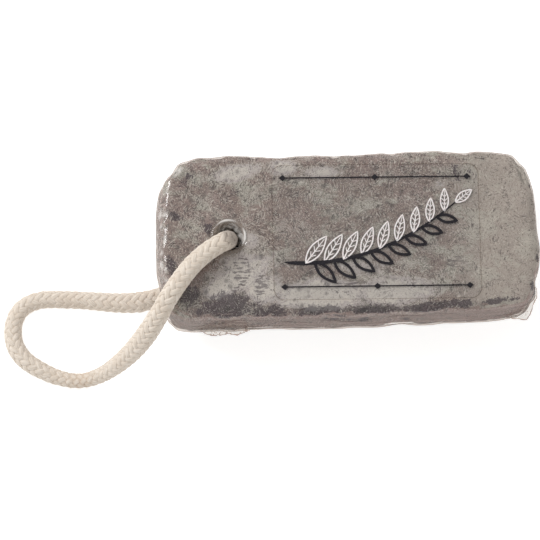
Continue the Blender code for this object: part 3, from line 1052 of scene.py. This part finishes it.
def hug(data, stone_tree):
    """Draw the film in until it rests on the high points of the stone, then fold it."""
    points, normals, pairs = as_array(data), vertex_normals(data), edge_pairs(data)
    start = 1.0 * MM
    gap = np.full(len(points), 9.0 * MM)
    for index, (point, normal) in enumerate(zip(points, normals)):
        hit = stone_tree.ray_cast(Vector(point + normal * start), Vector(-normal), 6 * MM)
        if hit[3] is not None:
            gap[index] = hit[3] - start
    drawn = least_nearby(pairs, gap, 2)
    side = 1 - ramp(np.abs(normals[:, 2]), 0.5, 0.9)
    side = side * np.clip(ramp(-normals[:, 1], 0.3, 0.8) + ramp(-normals[:, 0], 0.3, 0.8), 0, 1)
    side = side * (1 - ramp(points[:, 2], 16 * MM, 20 * MM) * ramp(-normals[:, 0], 0.2, 0.6))
    bridged = least_nearby(pairs, drawn, 3)
    drawn = drawn * (1 - side) + bridged * side
    drawn = np.minimum(spread(pairs, drawn, 5), gap)
    drawn = spread(pairs, drawn, 2) - FILM_CLEARANCE
    points = points - normals * drawn[:, None]
    points = points + normals * film_wrinkles(points, normals)[:, None]
    place_points(data, above_table(points))


def rim_loop(mesh, radius, top):
    """Cut the film's hole over the bore and return its rim's vertices in order."""
    centre = BORE_CENTRE

    def away(vert):
        return math.hypot(vert.co.x - centre.x, vert.co.y - centre.y)

    middle = STONE_THICKNESS / 2
    inside = [
        face
        for face in mesh.faces
        if (face.calc_center_median().z > middle) == top
        and all(away(vert) < radius for vert in face.verts)
    ]
    bmesh.ops.delete(mesh, geom=inside, context="FACES")
    rim = {vert for edge in mesh.edges if edge.is_boundary for vert in edge.verts}
    rim = [vert for vert in rim if (vert.co.z > middle) == top]
    level = sum(vert.co.z for vert in rim) / len(rim)
    for vert in rim:
        spoke = Vector((vert.co.x - centre.x, vert.co.y - centre.y)).normalized() * radius
        vert.co = (centre.x + spoke.x, centre.y + spoke.y, 0.5 * vert.co.z + 0.5 * level)
    loop = [rim[0]]
    left = set(rim[1:])
    while left:
        here = loop[-1]
        edge = next(
            (e for e in here.link_edges if e.is_boundary and e.other_vert(here) in left), None
        )
        if edge is None:
            break
        loop.append(edge.other_vert(here))
        left.discard(loop[-1])
    return loop, level


# The film's torn and heat-rolled collar, from its hole's rim down round the cord: radius and drop
TOP_COLLAR_MM = (
    (4.90, -0.18),
    (4.80, -0.32),
    (4.66, -0.38),
    (4.50, -0.34),
    (4.38, -0.20),
    (4.28, 0.0),
    (4.20, 0.4),
    (4.12, 0.8),
    (4.02, 1.2),
    (3.85, 1.6),
    (3.65, 2.0),
    (3.45, 2.4),
    (3.30, 2.9),
    (3.20, 3.6),
    (3.15, 4.4),
)
CORD_IN_BORE = Vector((-34.8, -0.7)) * MM
BOTTOM_COLLAR_MM = ((5.9, -0.12), (5.75, -0.2), (5.6, -0.12), (5.55, 0.1))


def add_collar(mesh, radius, top, profile):
    loop, level = rim_loop(mesh, radius, top)
    way = -1 if top else 1
    below = loop
    for rank, (ring_radius, drop) in enumerate(profile):
        ring = []
        for vert in loop:
            spoke = Vector((vert.co.x - BORE_CENTRE.x, vert.co.y - BORE_CENTRE.y)).normalized()
            turn = math.atan2(spoke.y, spoke.x)
            crumple = math.sin(4 * turn + 0.7 * rank) + 0.9 * math.sin(11 * turn - 0.9 * rank)
            deep = min(1, max(0, drop / 1.5))
            reach = ring_radius * MM + 0.19 * MM * crumple * deep
            height = level + way * drop * MM + 0.25 * (vert.co.z - level)
            height += 0.35 * MM * math.sin(6 * turn + 1.7 * math.sin(2 * turn)) * deep
            middle = BORE_CENTRE.lerp(CORD_IN_BORE, min(1, max(0, drop / 2.4)) if top else 0)
            ring.append(mesh.verts.new((*(middle + spoke * reach), height)))
        for index in range(len(loop)):
            follow = (index + 1) % len(loop)
            mesh.faces.new((below[index], below[follow], ring[follow], ring[index]))
        below = ring


def clear_shrink_film(name, dimming, haze):
    """Blown PVC shrink film, heat-shrunk on: clear and glossy, with its folds showing only as
    bright and dark lines, milky over the lighter flat patches, with painted white highlights on its
    hole's rim, its collar's pleats and its left bend, and brown along its crumpled edges, where light
    runs on inside it."""
    material, tree = new_material(name)
    place = add_node(tree, "ShaderNodeTexCoord").node.outputs["Object"]
    drawn = add_node(
        tree,
        "ShaderNodeMapping",
        {
            "Vector": place,
            "Scale": (1 / (3.2 * MM), 1 / (0.9 * MM), 1 / MM),
            "Rotation": (0, 0, 0.25),
        },
    )
    folds = add_node(
        tree,
        "ShaderNodeTexNoise",
        {"Vector": drawn, "Scale": 1.0, "Detail": 3.0, "Distortion": 0.6},
    )
    bump = add_node(
        tree, "ShaderNodeBump", {"Height": folds, "Strength": 0.35, "Distance": 0.12 * MM}
    )
    flat = add_node(tree, "ShaderNodeAttribute", attribute_name="flat_patch").node.outputs["Fac"]
    cloud = add_node(
        tree, "ShaderNodeTexNoise", {"Vector": place, "Scale": 1 / (1.6 * MM), "Detail": 5.0}
    )
    torn = add_node(tree, "ShaderNodeMath", {0: flat, 1: cloud}, operation="ADD")
    milky = add_node(
        tree,
        "ShaderNodeMapRange",
        {"Value": torn, "From Min": 0.84, "From Max": 0.95, "To Min": haze, "To Max": haze + 0.05},
    )
    tucked = add_node(tree, "ShaderNodeAttribute", attribute_name="tucked_in").node.outputs["Fac"]
    white = add_node(tree, "ShaderNodeAttribute", attribute_name="painted_highlight").node.outputs["Fac"]
    # the painted white highlights are laid on as milk
    for pattern, amount in ((tucked, 0.1), (white, 0.7)):
        milky = add_node(
            tree, "ShaderNodeMath", {0: pattern, 1: amount, 2: milky}, operation="MULTIPLY_ADD"
        )
    edge = add_node(tree, "ShaderNodeAttribute", attribute_name="crumpled_edge").node.outputs["Fac"]
    tint = laid_on(tree, "#FCFBFA", (("#B08664", edge, 0.0, 1.0, 0.8),))
    sheet = glossy_sheet(tree, tint, bump, dimming, 0.03, 0.12)
    milk = add_node(tree, "ShaderNodeBsdfDiffuse", {"Color": linear("#F4F1EE")})
    whole = add_node(tree, "ShaderNodeMixShader", {0: milky, 1: sheet, 2: milk})
    add_node(tree, "ShaderNodeOutputMaterial", {"Surface": whole})
    return material


def thicken(item, thickness):
    wall = item.modifiers.new("wall", "SOLIDIFY")
    wall.thickness = thickness
    wall.offset = 1.0
    wall.use_rim = True


def add_film(stone_tree):
    form = new_object("skin_form", skin_form())
    skin = voxel_mesh(form, FILM_VOXEL)
    bpy.data.objects.remove(form, do_unlink=True)
    hug(skin, stone_tree)
    mesh = bmesh.new()
    mesh.from_mesh(skin)
    add_collar(mesh, FILM_TOP_HOLE, True, TOP_COLLAR_MM)
    add_collar(mesh, FILM_BOTTOM_HOLE, False, BOTTOM_COLLAR_MM)
    mesh.normal_update()
    data = bpy.data.meshes.new("shrink_film_skin")
    mesh.to_mesh(data)
    mesh.free()
    data.shade_smooth()
    points, normals = as_array(data), vertex_normals(data)
    set_attribute(data, "flat_patch", marks(points, FLAT_PATCHES) * ramp(normals[:, 2], 0.5, 0.9))
    bore_away = np.hypot(points[:, 0] - BORE_CENTRE.x, points[:, 1] - BORE_CENTRE.y)
    tucked = (1 - ramp(bore_away, 4.1 * MM, 4.5 * MM)) * ramp(points[:, 2], 12 * MM, 13 * MM)
    set_attribute(data, "tucked_in", tucked)
    # painted highlights: white arcs on the hole's rim where the window light catches it, white lines on
    # the collar's pleats, and white glints along the left bend
    rim = ramp(bore_away, 4.25 * MM, 4.5 * MM) * (1 - ramp(bore_away, 4.8 * MM, 5.05 * MM))
    turn = np.arctan2(points[:, 1] - BORE_CENTRE.y, points[:, 0] - BORE_CENTRE.x)
    lit = np.clip(1 - np.abs(turn) / 0.6, 0, 1) + 0.6 * np.clip(1 - np.abs(turn - 1.75) / 0.8, 0, 1)
    lit = rim * np.clip(1.6 * lit, 0, 1) * ramp(points[:, 2], 12 * MM, 13 * MM)
    unrolled = np.column_stack([turn * 4 * MM, points[:, 2], 0 * turn])
    pleat = 1 - ramp(np.abs(swell(unrolled, (2.4 * MM, 0.9 * MM, MM), 61)), 0.06, 0.28)
    lit = np.maximum(lit, 0.5 * pleat * tucked)
    left = ramp(-normals[:, 0], 0.12, 0.4) * (1 - ramp(np.abs(normals[:, 1] + 0.1), 0.35, 0.7))
    bend = ramp(normals[:, 2], -0.1, 0.3) * ramp(swell(points, 1.6 * MM, 39), 0.1, 0.45)
    set_attribute(data, "painted_highlight", np.maximum(lit, left * (0.04 + 0.46 * bend)))
    material = clear_shrink_film("clear_shrink_film", 0.5, 0.012)
    film = new_object("shrink_film_skin", data, material)
    film.matrix_world = stone_to_scene()
    thicken(film, FILM_THICKNESS)
    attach(film, BODY)
    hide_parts("shrink_film")
    return tree_of(data)


# Gathered film that stands out from the seam: where each flap starts and ends on the plan, and how
# many millimetres out it reaches at even steps between
FILM_FLAPS = (
    (
        "film_seam_fringe",
        (-44.0, -23.5),
        (-25.5, -23.7),
        (0, 1.3, 2.4, 2.9, 2.6, 2.7, 2.3, 2.6, 2.7, 2.0, 1.5, 0.9, 0),
    ),
    (
        "film_corner_ear",
        (42.0, -21.6),
        (54.0, -11.0),
        (0, 0.6, 1.0, 1.5, 2.2, 3.4, 2.4, 1.7, 2.1, 1.9, 1.0, 0),
    ),
)


def flap_mesh(name, start, end, reaches, seed):
    """Two crumpled layers of film that stand out along a stretch of the seam."""
    outline = rounded_outline(np.array(STONE_PLAN_MM) * MM, 0.25 * MM)
    normals = outward(outline)
    first, last = (
        int(np.argmin(np.linalg.norm(outline - np.array(place) * MM, axis=1)))
        for place in (start, end)
    )
    picks = np.arange(first, last + (0 if last > first else len(outline))) % len(outline)
    share = np.linspace(0, 1, len(picks))
    reach = np.interp(share, np.linspace(0, 1, len(reaches)), reaches) * MM
    rows = 13
    points, faces, edges = [], [], []
    for layer in (0, 1):
        base = len(points)
        for row in range(rows):
            out = row / (rows - 1)
            plan = outline[picks] + normals[picks] * (SKIN_GAP - 0.25 * MM + reach * out)[:, None]
            level = np.full(len(picks), SEAM_HEIGHT + (0.5 - layer) * 0.9 * MM * (1 - out**2))
            place = np.column_stack([plan, level])
            crumple = swell(place, (1.2 * MM, 1.2 * MM, 0.5 * MM), seed + layer)
            pleat = np.abs(swell(place, (0.7 * MM, 2.4 * MM, 3 * MM), seed + 5))
            place[:, 2] += (0.45 * crumple + 0.5 * pleat) * MM * out
            place[:, :2] += normals[picks] * (swell(place, 0.8 * MM, seed + 9) * 0.2 * MM * out)[:, None]
            points += [tuple(point) for point in place]
            crest = 0.6 * (1 - ramp(pleat, 0.01, 0.05)) * min(1, 2 * out)
            edges += list(np.maximum(crest, ramp(np.array(out), 0.92, 1.0)))
        for row in range(rows - 1):
            for index in range(len(picks) - 1):
                a = base + row * len(picks) + index
                faces.append((a, a + 1, a + len(picks) + 1, a + len(picks)))
    data = mesh_from(name, points, faces)
    set_attribute(data, "crumpled_edge", edges)
    return data


def add_flaps():
    material = clear_shrink_film("crumpled_shrink_film", 0.12, 0.03)
    for rank, (name, start, end, reaches) in enumerate(FILM_FLAPS):
        flap = new_object(name, flap_mesh(name, start, end, reaches, 50 + rank), material)
        flap.matrix_world = stone_to_scene()
        thicken(flap, FILM_THICKNESS)
        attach(flap, BODY)


# ---------------------------------------------------------------- the clear label and its print

LABEL_CENTRE_MM = (7.6, 0.7)
LABEL_SIZE_MM = (59.6, 39.4)
LABEL_CORNER_MM = 3.0
LABEL_LIFT = 0.13 * MM
LABEL_THICKNESS = 0.08 * MM


def drop_onto(tree, points, lift):
    """Plan points set down on a surface from above, and lifted off it by lift."""
    laid = []
    for x, y in points:
        hit = tree.ray_cast(Vector((x, y, 40 * MM)), Vector((0, 0, -1)))
        laid.append((x, y, hit[0].z + lift))
    return np.array(laid)


def label_rings():
    """The label's outline and copies of it shrinking to its middle, as one mesh with even faces."""
    half_x, half_y = (size / 2 for size in LABEL_SIZE_MM)
    signs = ((-1, -1), (1, -1), (1, 1), (-1, 1))
    corners = [(sx * half_x, sy * half_y, LABEL_CORNER_MM) for sx, sy in signs]
    outline = rounded_outline(np.array(corners) * MM, 0.9 * MM)
    shares = [1.0, 0.994, 0.985, *np.linspace(0.96, 0.04, 27)]
    points = np.concatenate([outline * share for share in shares])
    points = np.concatenate([points, [(0.0, 0.0)]]) + np.array(LABEL_CENTRE_MM) * MM
    count = len(outline)
    faces = []
    for ring in range(len(shares) - 1):
        for side in range(count):
            follow = (side + 1) % count
            base = ring * count
            faces.append((base + side, base + follow, base + count + follow, base + count + side))
    base = (len(shares) - 1) * count
    faces += [(base + side, base + (side + 1) % count, len(points) - 1) for side in range(count)]
    rim = np.concatenate([np.repeat([1.0, 0.3] + [0.0] * (len(shares) - 2), count), [0.0]])
    return points, faces, rim


def clear_label_film():
    """Clear polyester label film, die-cut: clear and glossy, its cut edge a thin grey line."""
    material, tree = new_material("clear_polyester_label")
    place = add_node(tree, "ShaderNodeTexCoord").node.outputs["Object"]
    rim = add_node(tree, "ShaderNodeAttribute", attribute_name="cut_edge").node.outputs["Fac"]
    tint = laid_on(tree, "#FEFEFE", (("#E4E0DD", rim, 0.0, 1.0, 1.0),))
    waves = add_node(tree, "ShaderNodeTexNoise", {"Vector": place, "Scale": 1 / (4 * MM)})
    soft = add_node(
        tree, "ShaderNodeBump", {"Height": waves, "Strength": 0.5, "Distance": 0.15 * MM}
    )
    sheet = glossy_sheet(tree, tint, soft, 0.1, 0.012, 0.15)
    add_node(tree, "ShaderNodeOutputMaterial", {"Surface": sheet})
    return material


def add_label(film_tree):
    plan, faces, rim = label_rings()
    points = drop_onto(film_tree, plan, LABEL_LIFT + FILM_THICKNESS)
    data = mesh_from("clear_label_plate", points, faces)
    pairs = edge_pairs(data)
    heights = spread(pairs, points[:, 2], 12)
    points[:, 2] = np.maximum(heights, points[:, 2] - 0.03 * MM)
    place_points(data, points)
    set_attribute(data, "cut_edge", rim)
    label = new_object("clear_label_plate", data, clear_label_film())
    label.matrix_world = stone_to_scene()
    thicken(label, LABEL_THICKNESS)
    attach(label, BODY)
    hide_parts("clear_label")
    return tree_of(data)


PRINT_LIFT = 0.11 * MM  # above the label's underside, so just on its top
INK_THICKNESS = 0.02 * MM
HEAVY_LINE_MM = 1.0
FINE_LINE_MM = 0.36
FOIL_LINE_MM = 0.42


def stroke(path, widths, closed=False):
    """A flat ribbon along a plan path in millimetres, as plan points and faces."""
    path = np.array(path, dtype=float)
    if closed:
        run = np.roll(path, -1, axis=0) - np.roll(path, 1, axis=0)
    else:
        run = np.gradient(path, axis=0)
    run /= np.linalg.norm(run, axis=1, keepdims=True)
    across = np.stack([-run[:, 1], run[:, 0]], axis=1)
    half = np.broadcast_to(np.asarray(widths, dtype=float), len(path))[:, None] / 2
    points = np.concatenate([path + across * half, path - across * half])
    count = len(path)
    last = count if closed else count - 1
    faces = []
    for index in range(last):
        follow = (index + 1) % count
        faces.append((index, count + index, count + follow, follow))
    return points, faces


def leaf(root, heading, length, width, line, veins):
    """The strokes of one pointed leaf: its outline, and its midrib and veins if it has them."""
    run = np.array((math.cos(heading), math.sin(heading)))
    across = np.array((-run[1], run[0]))
    share = np.linspace(0, 1, 22)
    half = width / 2 * np.sin(math.pi * share) ** 0.85 * (1.15 - 0.3 * share)
    spine = np.array(root) + np.outer(share * length, run)
    far = np.concatenate([spine + across * half[:, None], (spine - across * half[:, None])[-2:0:-1]])
    strokes = [stroke(far, line, closed=True)]
    if veins:
        strokes.append(stroke(spine[:-2], np.linspace(line * 1.1, line * 0.5, 20)))
        for place in (5, 9, 13):
            for way in (1, -1):
                tip = spine[place] + run * length * 0.13 + across * way * half[place] * 0.7
                strokes.append(stroke(np.linspace(spine[place], tip, 4), line * 0.6))
    return strokes


def sprig():
    """Black and foil strokes of a leafy sprig that runs along the label, between two fine rules."""
    share = np.linspace(0, 1, 400)[:, None]
    start, bend, end = np.array((-19.0, -8.0)), np.array((7.0, -10.5)), np.array((30.5, 9.0))
    curve = start * (1 - share) ** 2 + 2 * bend * share * (1 - share) + end * share**2
    along = np.concatenate([[0], np.cumsum(np.linalg.norm(np.diff(curve, axis=0), axis=1))])
    places = np.linspace(0, along[-1], 80)
    stem = np.stack([np.interp(places, along, curve[:, axis]) for axis in (0, 1)], axis=1)
    black = [stroke(stem, np.interp(places, (0, 3, 20, along[-1]), (0.3, 1.1, 1.0, 0.4)))]
    foil = []
    for rank, place in enumerate(range(9, 77, 8)):
        run = stem[place + 1] - stem[place - 1]
        heading = math.atan2(run[1], run[0])
        size = 9.8 - 0.4 * rank
        foil += leaf(stem[place], heading + 0.9, size, size * 0.34, FOIL_LINE_MM, True)
        if place + 4 < 77:
            here = stem[place + 4]
            black += leaf(here, heading - 0.8, size * 0.82, size * 0.3, HEAVY_LINE_MM * 0.8, False)
    foil += leaf(stem[-1], heading, 6.0, 2.4, FOIL_LINE_MM, True)
    for y in (-15.2, 16.6):
        black.append(stroke(np.linspace((-19.0, y), (34.0, y), 60), FINE_LINE_MM))
        for x in (-19.0, 7.5, 34.0):
            lozenge = [(x + 1.1, y), (x, y + 0.9), (x - 1.1, y), (x, y - 0.9)]
            black.append((np.array(lozenge), [(0, 1, 2, 3)]))
    return black, foil


def join_strokes(name, strokes, label_tree):
    points, faces = [], []
    for plan, own in strokes:
        start = len(points)
        points += [tuple(point) for point in plan]
        faces += [tuple(start + index for index in face) for face in own]
    laid = drop_onto(label_tree, np.array(points) * MM, PRINT_LIFT)
    data = mesh_from(name, laid, faces, smooth=False)
    return data


def black_ink():
    """Screen-printed black ink: a dense, slightly glossy black."""
    material, tree = new_material("black_screen_ink")
    place = add_node(tree, "ShaderNodeTexCoord").node.outputs["Object"]
    screen = add_node(tree, "ShaderNodeTexNoise", {"Vector": place, "Scale": 1 / (0.25 * MM)})
    shader = add_node(
        tree,
        "ShaderNodeBsdfPrincipled",
        {
            "Base Color": laid_on(tree, "#17151A", (("#28252B", screen, 0.3, 0.7, 1.0),)),
            "Normal": add_node(
                tree, "ShaderNodeBump", {"Height": screen, "Strength": 0.2, "Distance": 0.02 * MM}
            ),
            "Roughness": 0.45,
            "Specular IOR Level": 0.25,
        },
    )
    add_node(tree, "ShaderNodeOutputMaterial", {"Surface": shader})
    return material


def hot_stamped_foil():
    """Hot-stamped silver foil with a breath of rose: a bright, finely crinkled mirror."""
    material, tree = new_material("hot_stamped_silver_foil")
    place = add_node(tree, "ShaderNodeTexCoord").node.outputs["Object"]
    crinkle = add_node(tree, "ShaderNodeTexNoise", {"Vector": place, "Scale": 1 / (0.5 * MM)})
    shader = add_node(
        tree,
        "ShaderNodeBsdfPrincipled",
        {
            "Base Color": laid_on(tree, "#F3E6E6", (("#FFFDFC", crinkle, 0.3, 0.7, 1.0),)),
            "Normal": add_node(
                tree, "ShaderNodeBump", {"Height": crinkle, "Strength": 0.5, "Distance": 0.05 * MM}
            ),
            "Roughness": 0.42,
            "Metallic": 0.6,
        },
    )
    add_node(tree, "ShaderNodeOutputMaterial", {"Surface": shader})
    return material


def add_print(label_tree):
    black, foil = sprig()
    for name, strokes, material in (
        ("label_print_black", black, black_ink()),
        ("label_print_foil", foil, hot_stamped_foil()),
    ):
        item = new_object(name, join_strokes(name, strokes, label_tree), material)
        item.matrix_world = stone_to_scene()
        thicken(item, INK_THICKNESS)
        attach(item, BODY)


def main():
    add_camera()
    add_cord()
    stone_tree = add_stone()
    film_tree = add_film(stone_tree)
    add_flaps()
    label_tree = add_label(film_tree)
    add_print(label_tree)
    add_light()
    add_floor()
    sizes = {"cad": CAD_BOX, "visual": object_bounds()}
    {key: [list(corner) for corner in box] for key, box in sizes.items()}


main()
